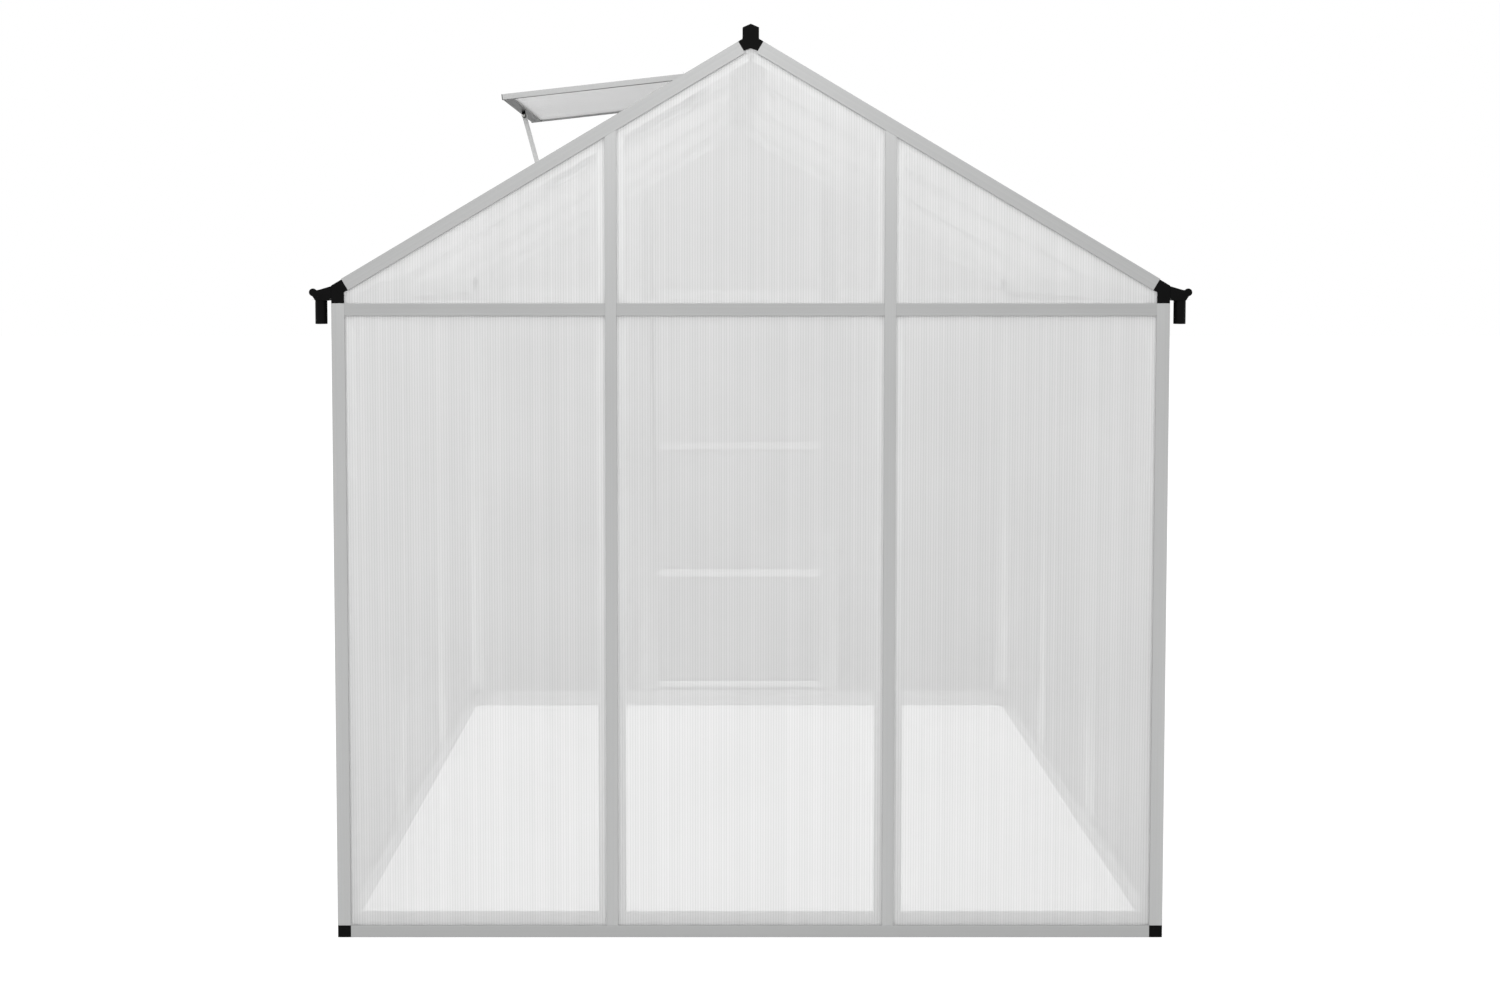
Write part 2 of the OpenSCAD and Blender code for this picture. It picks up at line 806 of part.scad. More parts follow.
// Panels of one gable below the transoms, in the bays named by their side
module lower_panel(side) {
    near = post_x + web_half + panel_play;
    far = half_w - core_w - panel_play;
    top = transom_mid - web_half - panel_play;
    x0 = side == 0 ? web_half + panel_play - post_x : (side < 0 ? -far : near);
    x1 = side == 0 ? post_x - web_half - panel_play : (side < 0 ? -near : far);
    block(x0, x1, panel_top_d, panel_low_d, lip_t, top);
}

// Panels of one gable above the transoms
module upper_panels() {
    foot = transom_mid + web_half + panel_play;
    edge_n = core_w + panel_play;
    post_u = half_w - post_x - web_half - panel_play;
    centre_u = half_w - post_x + web_half + panel_play;
    side_outline = [
        [connector_w + panel_play, foot],
        [connector_w + panel_play, post_h + connector_side_h - panel_play],
        slope_point(connector_s + panel_play, corner_lip_w + panel_play),
        slope_point(connector_s + panel_play, edge_n),
        [post_u, roof_z(post_u, edge_n)],
        [post_u, foot]
    ];
    under_cap = from_centre(slope_point(cap_s - panel_play, cap_arm_d + panel_play));
    half = [
        [centre_u - half_w, foot],
        [centre_u - half_w, roof_z(centre_u, edge_n)],
        from_centre(slope_point(cap_s - panel_play, edge_n)),
        under_cap
    ];
    apex = [[0, slope_point(cap_s, cap_arm_d)[1] + cap_notch_h - panel_play - panel_play]];
    plate(concat(half, apex, reversed(mirrored(half))), panel_top_d, panel_low_d);
    for (side = sides)
        mirror([side > 0 ? 1 : 0, 0, 0])
            plate([for (p = side_outline) from_centre(p)], panel_top_d, panel_low_d);
}

module rear_lower_panels() {
    color("white")
        at_gable(-1)
            for (side = [-1, 0, 1])
                lower_panel(side);
}

module rear_gable_panels() {
    color("white") at_gable(-1) upper_panels();
}

module front_side_panels() {
    color("white")
        at_gable(1)
            for (side = sides)
                lower_panel(side);
}

module front_gable_panels() {
    color("white") at_gable(1) upper_panels();
}

// Ends of a bay along the house: -1 rear, 0 middle, 1 front
function bay_ends(bay) = bay == 0
    ? [web_half + panel_play - post_y, post_y - web_half - panel_play]
    : (bay < 0
        ? [core_w + panel_play - half_l, -post_y - web_half - panel_play]
        : [post_y + web_half + panel_play, half_l - core_w - panel_play]);

module side_panels() {
    for (bay = [-1, 0, 1]) {
        ends = bay_ends(bay);
        block(ends[0], ends[1], panel_top_d, panel_low_d, lip_t, post_h + eave_slot_h - panel_play);
    }
}

module left_wall_panels() {
    color("white") at_side(-1) side_panels();
}

module right_wall_panels() {
    color("white") at_side(1) side_panels();
}

// Roof panel in one bay, between two points of the slope
module roof_panel(bay, s0, s1) {
    ends = bay_ends(bay);
    block(s0, s1, ends[0], ends[1], -panel_low_d, -panel_top_d);
}

// The rear bay of the left slope is open at the vent
module left_roof_panels() {
    eave_s = -eave_over / cos(roof_pitch);
    color("white")
        at_slope(-1) {
            roof_panel(-1, eave_s, sill_s - web_half - panel_play);
            roof_panel(-1, head_s + web_half + panel_play, panel_end_s);
            roof_panel(0, eave_s, panel_end_s);
            roof_panel(1, eave_s, panel_end_s);
        }
}

module right_roof_panels() {
    eave_s = -eave_over / cos(roof_pitch);
    color("white")
        at_slope(1)
            for (bay = [-1, 0, 1])
                roof_panel(bay, eave_s, panel_end_s);
}

// Front wall seen from outside: Y counts out from the outer face
module at_front() {
    translate([0, mid_y + half_l, 0])
        children();
}

// Track over the door: back on the transoms, shelf with a running lip
module door_track() {
    shelf_z = post_h + lip_t;
    lip_z = post_h + track_lip_h;
    x0 = -door_w / 2;
    x1 = half_w - track_inset;
    color("silver")
        at_front() {
            block(x0, x1, 0, track_t, transom_z, shelf_z + track_t);
            block(x0, x1, track_t, track_d, shelf_z, shelf_z + track_t);
            block(x0, x1, track_d - track_t, track_d, shelf_z + track_t, lip_z);
        }
}

// Guide under the door: back on the base rail, shelf and outer lip
module door_guide() {
    x0 = -door_w / 2;
    x1 = half_w - track_inset;
    color("silver")
        at_front() {
            block(x0, x1, 0, track_t, track_t, base_lip_h);
            block(x0, x1, track_t, guide_d, track_t, track_t * 2);
            block(x0, x1, guide_d - track_t, guide_d, track_t * 2, guide_lip_h);
        }
}

module door_stiles() {
    color("silver")
        at_front()
            for (side = sides)
                mirror([side > 0 ? 1 : 0, 0, 0])
                    translate([-door_w / 2, door_gap, door_z])
                        difference() {
                            cube([door_bar_w, door_t, door_h]);
                            translate([tube_t, tube_t, -cut])
                                cube([door_bar_w - tube_t * 2, door_t - tube_t * 2, door_h + cut * 2]);
                        }
}

// Bottoms and tops of the door's rails, from the lowest
function door_rail_zs() = concat(
    [[door_z, door_z + door_foot_h]],
    [for (share = door_bar_shares)
        [door_z + door_h * share - door_bar_w / 2, door_z + door_h * share + door_bar_w / 2]],
    [[door_top - door_bar_w, door_top]]
);

module door_rails() {
    x = door_w / 2 - door_bar_w;
    color("silver")
        at_front()
            for (z = door_rail_zs())
                difference() {
                    block(-x, x, door_gap, door_gap + door_t, z[0], z[1]);
                    block(
                        -x - cut, x + cut, door_gap + tube_t, door_gap + door_t - tube_t,
                        z[0] + tube_t, z[1] - tube_t
                    );
                }
}

module door_panels() {
    x = door_w / 2 - door_bar_w;
    zs = door_rail_zs();
    y0 = door_gap + (door_t - panel_t) / 2;
    color("white")
        at_front()
            for (i = [0 : len(zs) - 2])
                block(-x, x, y0, y0 + panel_t, zs[i][1], zs[i + 1][0]);
}

// Hanger plates on the leaf with a roller each, on the track's lip
module door_rollers() {
    wheel_z = post_h + track_lip_h + roller_play + roller_r;
    wheel_y = track_d - track_t / 2 - roller_t / 2;
    plate_y = track_d + hanger_gap;
    axle_r = roller_r * axle_share;
    color("black")
        at_front()
            for (side = sides)
                translate([side * hanger_x, 0, 0]) {
                    block(
                        -hanger_w / 2, hanger_w / 2, plate_y, plate_y + hanger_t,
                        door_top, wheel_z + roller_r
                    );
                    translate([0, wheel_y + roller_t, wheel_z])
                        rotate([90, 0, 0])
                            cylinder(r = roller_r, h = roller_t);
                    translate([0, plate_y, wheel_z])
                        rotate([90, 0, 0])
                            cylinder(r = axle_r, h = plate_y - wheel_y - roller_t);
                }
}

// Bow handle on the stile that the door closes on
module door_handle() {
    face_y = door_gap + door_t;
    stub_l = handle_l - handle_r * 2;
    color("black")
        at_front()
            translate([door_bar_w / 2 - door_w / 2, face_y, door_z + door_h * handle_share]) {
                translate([0, handle_out, -handle_l / 2])
                    cylinder(r = handle_r, h = handle_l);
                for (side = sides)
                    translate([0, handle_out, side * stub_l / 2])
                        rotate([90, 0, 0])
                            cylinder(r = handle_r, h = handle_out);
            }
}

base_rail_rear();
base_rail_front();
base_rail_left();
base_rail_right();
base_corner_blocks();
corner_posts();
rear_gable_posts();
front_door_posts();
left_wall_posts();
right_wall_posts();
rear_transoms();
front_transoms();
left_eave_beam();
right_eave_beam();
left_gutter();
right_gutter();
eave_connectors();
gutter_outlets();
rear_rafters();
front_rafters();
left_roof_bars();
right_roof_bars();
ridge_beam();
ridge_caps();
vent_trimmers();
vent_side_rails();
vent_end_rails();
vent_pane();
vent_pivots();
vent_stay();
rear_lower_panels();
rear_gable_panels();
front_side_panels();
front_gable_panels();
left_wall_panels();
right_wall_panels();
left_roof_panels();
right_roof_panels();
door_track();
door_guide();
door_stiles();
door_rails();
door_panels();
door_rollers();
door_handle();
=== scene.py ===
"""Looks of the walk-in greenhouse: twin-wall sheets, softened bars, fittings, materials, light and camera."""
import json
import math

import bmesh
import bpy
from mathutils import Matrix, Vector


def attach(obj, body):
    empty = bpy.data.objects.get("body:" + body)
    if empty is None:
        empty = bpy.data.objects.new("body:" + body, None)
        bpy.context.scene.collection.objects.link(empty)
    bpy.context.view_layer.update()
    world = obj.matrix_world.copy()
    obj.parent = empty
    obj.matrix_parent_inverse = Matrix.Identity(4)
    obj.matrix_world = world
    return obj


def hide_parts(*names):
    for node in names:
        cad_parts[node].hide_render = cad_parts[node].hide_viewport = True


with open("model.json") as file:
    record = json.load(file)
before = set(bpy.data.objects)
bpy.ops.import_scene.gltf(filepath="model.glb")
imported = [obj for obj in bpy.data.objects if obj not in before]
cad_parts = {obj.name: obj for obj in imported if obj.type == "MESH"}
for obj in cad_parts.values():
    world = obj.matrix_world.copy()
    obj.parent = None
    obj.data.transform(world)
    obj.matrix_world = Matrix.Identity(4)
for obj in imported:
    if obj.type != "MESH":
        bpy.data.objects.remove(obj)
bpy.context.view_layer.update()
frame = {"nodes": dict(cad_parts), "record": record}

UP = Vector((0, 0, 1))
WELD = 1e-5
FLAT_ANGLE = math.radians(0.5)
SHARP_ANGLE = math.radians(30)
FACING = 0.5

# Twin-wall sheet
RIB_PITCH = 0.012
LINES_PER_RIB = 2
RIB_THICK = 0.0004
RIB_SINK = 0.0001
RIB_SHADE = 0.82
RIB_BLUR = 0.22
SHEET_CELLS = 200
SKIN_CLEAR = 0.54
VENT_CLEAR = 0.25
RIB_CLEAR = 0.85
SKIN_GLOW = 0.45
VENT_GLOW = 0.64

# Light on the object, and how bright the surroundings look through the sheets
LIGHT_LEVEL = 0.95
DIM_LEVEL = 0.22
DIM_FLOOR = 0.08
# Faces that a sight line may cross before the floor or the surroundings look dim: none, or those of one
# sheet and two of its ribs
NO_SHEET = 0.5
ONE_SHEET = 6.5
# Glow of the floor outside the house and inside it; the lower glow inside is painted shade of the house
FLOOR_GLOW = (0.75, 0.69)
# Floor as light sees it, and the share of it that shows shadows
FLOOR_TONE = 0.85
FLOOR_SHADOW = 0.35

# House, as packed
HALF_W = 0.950
HALF_L = 0.950
REAR_Y = -0.972
FRONT_Y = 0.928
MID_Y = (REAR_Y + FRONT_Y) / 2
EAVE_Z = 1.504
ROOF_PITCH = math.radians(30.7)
SLOPE_L = HALF_W / math.cos(ROOF_PITCH)
RIDGE_Z = EAVE_Z + HALF_W * math.tan(ROOF_PITCH)
BAY_COUNT = 3
BAY = 2 * HALF_W / BAY_COUNT
EAVE_OVER = 0.006
LIP_DEPTH = 0.0015
STEM_D = 0.023
CORE_W = 0.020
SIDES = (-1, 1)
GABLES = ((REAR_Y, 1), (FRONT_Y, -1))

# Widths of the rounded edges
BAR_EDGE = 0.0003
FITTING_EDGE = 0.0008
PLATE_EDGE = 0.0003
STRIP_EDGE = 0.0001
PLUG_EDGE = 0.0004
STILE_PLUG_EDGE = 0.0005
FOOT_EDGE = 0.0004
STOP_EDGE = 0.001
NORMAL_WEIGHT = 100

# Photographed view: the image is 1500 x 1000
CAMERA_AT = (-0.0720, -4.4430, 1.5415)
CAMERA_PITCH = math.radians(2.494)
CAMERA_LENS = 36.79
SENSOR_W = 36
CAMERA_SHIFT = (0.0208, -0.11)


# Node helpers

def new_material(name):
    """Empty node material with its Principled shader."""
    mat = bpy.data.materials.new(name)
    mat.use_nodes = True
    shader = mat.node_tree.nodes["Principled BSDF"]
    return mat, mat.node_tree, shader


def node(tree, kind, inputs=None, **settings):
    """Node of a kind, with settings and input values or links."""
    made = tree.nodes.new(kind)
    for key, value in settings.items():
        setattr(made, key, value)
    for key, value in (inputs or {}).items():
        if isinstance(value, bpy.types.NodeSocket):
            tree.links.new(value, made.inputs[key])
        else:
            made.inputs[key].default_value = value
    return made


def math_node(tree, operation, a, b=0.0):
    return node(tree, "ShaderNodeMath", {0: a, 1: b}, operation=operation).outputs[0]


def ramp(tree, fac, low, high):
    """Value from 0..1 mapped to a range."""
    made = node(tree, "ShaderNodeMapRange", {"Value": fac, "To Min": low, "To Max": high})
    return made.outputs[0]


def shade(tree, value, tint=(1, 1, 1)):
    """Colour from a tint and a level."""
    made = node(tree, "ShaderNodeVectorMath", {0: tint, "Scale": value}, operation="SCALE")
    return made.outputs[0]


# Materials

METAL_TINT = (0.994, 1.0, 0.997)
ZINC_TINT = (1.0, 0.99, 0.96)
DIE_LINES = (0.6, 260, 260)
PATCHES = (2.2, 14, 14)


def aluminium(name, level, rotation):
    """Extruded aluminium whose die lines run along the bar; rotation turns X to the bar's length. The level
    is the base tone, which the copies set apart to paint light and shade.
    """
    mat, tree, shader = new_material(name)
    place = node(tree, "ShaderNodeTexCoord").outputs["Object"]
    split = node(tree, "ShaderNodeSeparateXYZ", {0: place})
    folded = node(
        tree, "ShaderNodeCombineXYZ",
        {0: math_node(tree, "ABSOLUTE", split.outputs[0]), 1: split.outputs[1], 2: split.outputs[2]},
    )
    bar = node(
        tree, "ShaderNodeMapping", {"Vector": folded.outputs[0], "Rotation": rotation}
    ).outputs[0]
    lines = node(tree, "ShaderNodeMapping", {"Vector": bar, "Scale": DIE_LINES}).outputs[0]
    patches = node(tree, "ShaderNodeMapping", {"Vector": bar, "Scale": PATCHES}).outputs[0]
    line = node(tree, "ShaderNodeTexNoise", {"Vector": lines, "Scale": 1, "Detail": 3}).outputs[0]
    patch = node(tree, "ShaderNodeTexNoise", {"Vector": patches, "Scale": 1, "Detail": 2}).outputs[0]
    tone = math_node(
        tree, "MULTIPLY", ramp(tree, line, 0.93 * level, 1.07 * level), ramp(tree, patch, 0.94, 1.06)
    )
    tree.links.new(shade(tree, tone, METAL_TINT), shader.inputs["Base Color"])
    tree.links.new(ramp(tree, patch, 0.36, 0.5), shader.inputs["Roughness"])
    bump = node(tree, "ShaderNodeBump", {"Height": line, "Strength": 0.15, "Distance": 0.0004})
    tree.links.new(bump.outputs[0], shader.inputs["Normal"])
    shader.inputs["Metallic"].default_value = 0.9
    return mat


def zinc(name):
    """Plated steel of the nuts, bolts and screws, with a faint mottle."""
    mat, tree, shader = new_material(name)
    place = node(tree, "ShaderNodeTexCoord").outputs["Object"]
    mottle = node(tree, "ShaderNodeTexNoise", {"Vector": place, "Scale": 240, "Detail": 3}).outputs[0]
    tree.links.new(shade(tree, ramp(tree, mottle, 0.42, 0.62), ZINC_TINT), shader.inputs["Base Color"])
    tree.links.new(ramp(tree, mottle, 0.28, 0.44), shader.inputs["Roughness"])
    shader.inputs["Metallic"].default_value = 1.0
    return mat


def black_plastic(name):
    """Moulded plastic with a fine grain."""
    mat, tree, shader = new_material(name)
    place = node(tree, "ShaderNodeTexCoord").outputs["Object"]
    grain = node(tree, "ShaderNodeTexNoise", {"Vector": place, "Scale": 1400, "Detail": 2}).outputs[0]
    wear = node(tree, "ShaderNodeTexNoise", {"Vector": place, "Scale": 22, "Detail": 3}).outputs[0]
    tree.links.new(shade(tree, ramp(tree, wear, 0.001, 0.003)), shader.inputs["Base Color"])
    tree.links.new(ramp(tree, wear, 0.42, 0.6), shader.inputs["Roughness"])
    bump = node(tree, "ShaderNodeBump", {"Height": grain, "Strength": 0.25, "Distance": 0.0002})
    tree.links.new(bump.outputs[0], shader.inputs["Normal"])
    shader.inputs["Specular IOR Level"].default_value = 0.05
    return mat


def polycarbonate(name, clear_share, glow_share):
    """Milky sheet that lets some light straight through and some scattered; each channel has its own tone."""
    mat, tree, shader = new_material(name)
    place = node(tree, "ShaderNodeUVMap", uv_map="sheet").outputs[0]
    cell = node(tree, "ShaderNodeSeparateXYZ", {0: place}).outputs[0]
    channel = node(
        tree, "ShaderNodeTexWhiteNoise", {"W": math_node(tree, "FLOOR", cell)}, noise_dimensions="1D"
    ).outputs[0]
    streak = node(
        tree, "ShaderNodeTexNoise", {"W": cell, "Scale": 0.16, "Detail": 1}, noise_dimensions="1D"
    ).outputs[0]
    flow = node(tree, "ShaderNodeMapping", {"Vector": place, "Scale": (0.03, 4, 1)}).outputs[0]
    cloud = node(
        tree, "ShaderNodeTexNoise", {"Vector": flow, "Scale": 1, "Detail": 0}, noise_dimensions="2D"
    ).outputs[0]
    from_rib = math_node(tree, "PINGPONG", cell, 0.5)
    rib = node(
        tree, "ShaderNodeMapRange",
        {"Value": from_rib, "From Max": RIB_BLUR, "To Min": RIB_SHADE, "To Max": 1.0},
        interpolation_type="SMOOTHSTEP",
    ).outputs[0]
    tone = math_node(
        tree, "MULTIPLY",
        math_node(tree, "MULTIPLY", ramp(tree, channel, 0.945, 0.988), ramp(tree, streak, 0.985, 1.015)),
        math_node(tree, "MULTIPLY", rib, ramp(tree, cloud, 0.985, 1.015)),
    )
    colour = shade(tree, tone)
    tree.links.new(colour, shader.inputs["Base Color"])
    tree.links.new(ramp(tree, cloud, 0.3, 0.42), shader.inputs["Roughness"])
    wave = math_node(tree, "SINE", math_node(tree, "MULTIPLY", cell, 2 * math.pi))
    bump = node(tree, "ShaderNodeBump", {"Height": wave, "Strength": 0.12, "Distance": 0.0002})
    tree.links.new(bump.outputs[0], shader.inputs["Normal"])
    shader.inputs["Specular IOR Level"].default_value = 0.3
    glow = node(tree, "ShaderNodeBsdfTranslucent", {"Color": colour})
    clear = node(tree, "ShaderNodeBsdfTransparent")
    milky = node(
        tree, "ShaderNodeMixShader",
        {"Fac": glow_share, 1: shader.outputs[0], 2: glow.outputs[0]},
    )
    sheet = node(tree, "ShaderNodeMixShader", {"Fac": clear_share, 1: milky.outputs[0], 2: clear.outputs[0]})
    tree.links.new(sheet.outputs[0], tree.nodes["Material Output"].inputs["Surface"])
    return mat


QUARTER = math.pi / 2
# Copies of one aluminium whose levels differ with the bar's direction: painted light and shade. Each copy
# also turns the die lines along its bars.
ALU_X = aluminium("aluminium_across", 0.365, (0, 0, 0))
ALU_Y = aluminium("aluminium_along", 0.43, (0, 0, -QUARTER))
ALU_Z = aluminium("aluminium_upright", 0.41, (0, QUARTER, 0))
ALU_SLOPE = aluminium("aluminium_slope", 0.375, (0, -ROOF_PITCH, 0))
# Brighter copy for the room-side faces behind the sheets: painted light.
ALU_PAINTED_BRIGHT = aluminium("aluminium_painted_bright", 0.90, (0, QUARTER, 0))
# Copy set between the outer level and the bright copy, for the room side of the base rails, door posts and
# stiles and for the base angles: painted shade.
ALU_PAINTED_DIMMER = aluminium("aluminium_painted_dimmer", 0.57, (0, 0, 0))
# Brighter copy for the vent stay, lifting its shaded face: painted light.
ALU_STAY_PAINTED_LIGHT = aluminium("aluminium_stay_painted_light", 0.50, (0, QUARTER, 0))
# Dark copy for the undersides of the raised vent's rails: painted shade.
ALU_PAINTED_SHADE = aluminium("aluminium_painted_shade", 0.18, (0, 0, -QUARTER))
ZINC = zinc("zinc_steel")
BLACK = black_plastic("moulded_black")
SHEET = polycarbonate("milky_sheet", SKIN_CLEAR, SKIN_GLOW)
VENT_SHEET = polycarbonate("milky_vent_sheet", VENT_CLEAR, VENT_GLOW)
RIB = polycarbonate("milky_rib", RIB_CLEAR, SKIN_GLOW)


# Meshes

def add_piece(name, bm, body, material):
    """New object from a bmesh, on a body, with its finish."""
    mesh = bpy.data.meshes.new(name)
    bm.to_mesh(mesh)
    bm.free()
    mesh.materials.append(material)
    piece = bpy.data.objects.new(name, mesh)
    bpy.context.scene.collection.objects.link(piece)
    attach(piece, body)
    return piece


def flat_mesh(cad_node):
    """Copy of a CAD node's mesh with each flat face as one polygon."""
    bm = bmesh.new()
    bm.from_mesh(frame["nodes"][cad_node].data)
    bmesh.ops.remove_doubles(bm, verts=bm.verts, dist=WELD)
    bmesh.ops.dissolve_limit(bm, angle_limit=FLAT_ANGLE, verts=bm.verts, edges=bm.edges)
    return bm


def solids_of(bm):
    """Faces of each separate solid, the largest first; always in the order of the mesh."""
    seen = set()
    for first in bm.faces:
        if first in seen:
            continue
        seen.add(first)
        faces = [first]
        for face in faces:
            for edge in face.edges:
                fresh = [other for other in edge.link_faces if other not in seen]
                seen.update(fresh)
                faces.extend(fresh)
        yield sorted(faces, key=lambda face: -face.calc_area())


def crossings(outline, across, along, place):
    """Stretches of a straight line inside an outline, as pairs of distances along it."""
    hits = []
    for a, b in zip(outline, outline[1:] + outline[:1]):
        ca, cb = a.dot(across) - place, b.dot(across) - place
        if (ca < 0) != (cb < 0):
            point = a.lerp(b, ca / (ca - cb))
            hits.append(point.dot(along))
    hits.sort()
    return list(zip(hits[::2], hits[1::2]))


def add_prism(bm, ring, shift):
    """Closed prism from a ring of points to the same ring shifted."""
    near = [bm.verts.new(p) for p in ring]
    far = [bm.verts.new(p + shift) for p in ring]
    faces = [bm.faces.new(near), bm.faces.new(far[::-1])]
    for i in range(len(ring)):
        faces.append(bm.faces.new((near[i - 1], near[i], far[i], far[i - 1])))
    return faces


def twin_wall(cad_node, body):
    """Sheet with thin ribs inside it, in place of each slab of a CAD node."""
    slabs = flat_mesh(cad_node)
    bm = bmesh.new()
    uv = bm.loops.layers.uv.new("sheet")
    for index, faces in enumerate(solids_of(slabs)):
        outer = [v.co.copy() for v in faces[0].verts]
        normal = faces[0].normal.copy()
        depth = min((v.co - outer[0]).dot(normal) for f in faces for v in f.verts)
        along = (UP - normal * UP.dot(normal)).normalized()
        across = along.cross(normal)
        places = [p.dot(across) for p in outer]
        start, stop = min(places), max(places)
        count = round((stop - start) / RIB_PITCH)
        pitch = (stop - start) / count
        made = add_prism(bm, outer, normal * depth)
        base = normal * (outer[0].dot(normal) - RIB_SINK) - across * RIB_THICK / 2
        web = normal * (depth + 2 * RIB_SINK)
        for i in range(1, count):
            place = start + pitch * i
            for low, high in crossings(outer, across, along, place):
                foot = base + across * place + along * (low + RIB_SINK)
                head = base + across * place + along * (high - RIB_SINK)
                rib = add_prism(bm, [foot, head, head + web, foot + web], across * RIB_THICK)
                for face in rib:
                    face.material_index = 1
                made += rib
        for face in made:
            for loop in face.loops:
                point = loop.vert.co
                cell = (point.dot(across) - start) / pitch * LINES_PER_RIB + SHEET_CELLS * index
                loop[uv].uv = (cell, point.dot(along))
    bmesh.ops.recalc_face_normals(bm, faces=bm.faces)
    slabs.free()
    sheet = VENT_SHEET if cad_node == "vent_pane" else SHEET
    piece = add_piece(cad_node + "_twin_wall", bm, body, sheet)
    piece.data.materials.append(RIB)
    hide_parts(cad_node)
    return piece


VENT_RAILS = ("vent_side_rails", "vent_end_rails")
# Bars whose room side takes the dimmer copy: painted shade.
DIMMER_ROOM_BARS = (
    "base_rail_rear", "base_rail_front", "base_rail_left", "base_rail_right", "front_door_posts",
    "door_stiles",
)


def finish_index(cad_node, body, polygon):
    """0 for an outer face, 1 behind the sheets, painted bright, 2 under the raised vent, painted shade, 3 for
    a room side painted less bright than 1.
    """
    if cad_node in VENT_RAILS:
        # Downward faces of the vent rails take the dark copy: painted shade.
        return 2 if polygon.normal.z < -FACING else 0
    x, y, z = polygon.center
    to_room = polygon.normal.x * x + polygon.normal.y * (y - MID_Y) < 0
    inner = 3 if to_room and cad_node in DIMMER_ROOM_BARS else 1
    if body == "door":
        return inner if polygon.normal.y < -FACING else 0
    roof = EAVE_Z + (HALF_W - abs(x)) * math.tan(ROOF_PITCH)
    depth = min(HALF_W - abs(x), y - REAR_Y, FRONT_Y - y, (roof - z) * math.cos(ROOF_PITCH))
    return inner if depth > LIP_DEPTH else 0


def soft_shading(piece):
    """Smooth shading that keeps flat faces flat and sharp edges sharp."""
    for polygon in piece.data.polygons:
        polygon.use_smooth = True
    piece.data.set_sharp_from_angle(angle=SHARP_ANGLE)
    normals = piece.modifiers.new("flat_faces", "WEIGHTED_NORMAL")
    normals.keep_sharp = True
    normals.weight = NORMAL_WEIGHT


def round_edges(bm, width):
    """Rounds the sharp edges of a bmesh over."""
    edges = [
        e for e in bm.edges
        if len(e.link_faces) == 2 and e.calc_face_angle() > SHARP_ANGLE
    ]
    bmesh.ops.bevel(
        bm, geom=edges, offset=width, offset_type="OFFSET", segments=2, profile=0.5,
        affect="EDGES", clamp_overlap=False,
    )


def softened(cad_node, body, width, material, slot):
    """Copy of a CAD node with its sharp edges rounded over."""
    bm = flat_mesh(cad_node)
    round_edges(bm, width)
    piece = add_piece(cad_node + "_softened", bm, body, material)
    if slot == "aluminium":
        for inner in (ALU_PAINTED_BRIGHT, ALU_PAINTED_SHADE, ALU_PAINTED_DIMMER):
            piece.data.materials.append(inner)
        for polygon in piece.data.polygons:
            polygon.material_index = finish_index(cad_node, body, polygon)
    soft_shading(piece)
    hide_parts(cad_node)
    return piece


BODY_OF = {n: body for body, names in frame["record"]["behaviour"]["bodies"].items() for n in names}

SHEETS = (
    "rear_lower_panels", "rear_gable_panels", "front_side_panels", "front_gable_panels",
    "left_wall_panels", "right_wall_panels", "left_roof_panels", "right_roof_panels",
    "vent_pane", "door_panels",
)
BARS = {
    ALU_X: (
        "base_rail_rear", "base_rail_front", "rear_transoms", "front_transoms", "door_track",
        "door_guide", "door_rails", "vent_side_rails",
    ),
    ALU_Y: (
        "base_rail_left", "base_rail_right", "left_eave_beam", "right_eave_beam", "left_gutter",
        "right_gutter", "ridge_beam", "vent_trimmers", "vent_end_rails",
    ),
    ALU_Z: (
        "corner_posts", "rear_gable_posts", "front_door_posts", "left_wall_posts", "right_wall_posts",
        "door_stiles",
    ),
    ALU_SLOPE: ("rear_rafters", "front_rafters", "left_roof_bars", "right_roof_bars"),
    ALU_STAY_PAINTED_LIGHT: ("vent_stay",),
}
FITTINGS = (
    "base_corner_blocks", "eave_connectors", "gutter_outlets", "ridge_caps", "vent_pivots",
    "door_rollers", "door_handle",
)

for name in SHEETS:
    twin_wall(name, BODY_OF[name])
for material, names in BARS.items():
    for name in names:
        softened(name, BODY_OF[name], BAR_EDGE, material, "aluminium")
for name in FITTINGS:
    softened(name, BODY_OF[name], FITTING_EDGE, BLACK, "black_plastic")


# Hardware

def turned(bm, at, axis, profile, sides):
    """Solid of revolution on an axis: (radius, height) pairs from its foot up; six sides make a nut."""
    turn = axis.to_track_quat("Z", "X")
    rings = []
    for radius, height in profile:
        ring = []
        for i in range(sides):
            angle = 2 * math.pi * i / sides
            spot = Vector((radius * math.cos(angle), radius * math.sin(angle), height))
            ring.append(bm.verts.new(at + turn @ spot))
        rings.append(ring)
    bm.faces.new(rings[0][::-1])
    bm.faces.new(rings[-1])
    for low, high in zip(rings, rings[1:]):
        for i in range(sides):
            bm.faces.new((low[i - 1], low[i], high[i], high[i - 1]))


def fasteners(name, spots, shapes, body, material):
    """One piece with the same turned shapes at each spot, a point and an axis."""
    bm = bmesh.new()
    for at, axis in spots:
        for profile, sides in shapes:
            turned(bm, at, axis, profile, sides)
    soft_shading(add_piece(name, bm, body, material))


def plates(name, prisms, edge, body, material):
    """One piece of prisms, each a ring of points and a shift, with rounded edges."""
    bm = bmesh.new()
    for ring, shift in prisms:
        add_prism(bm, ring, shift)
    bmesh.ops.recalc_face_normals(bm, faces=bm.faces)
    round_edges(bm, edge)
    soft_shading(add_piece(name, bm, body, material))


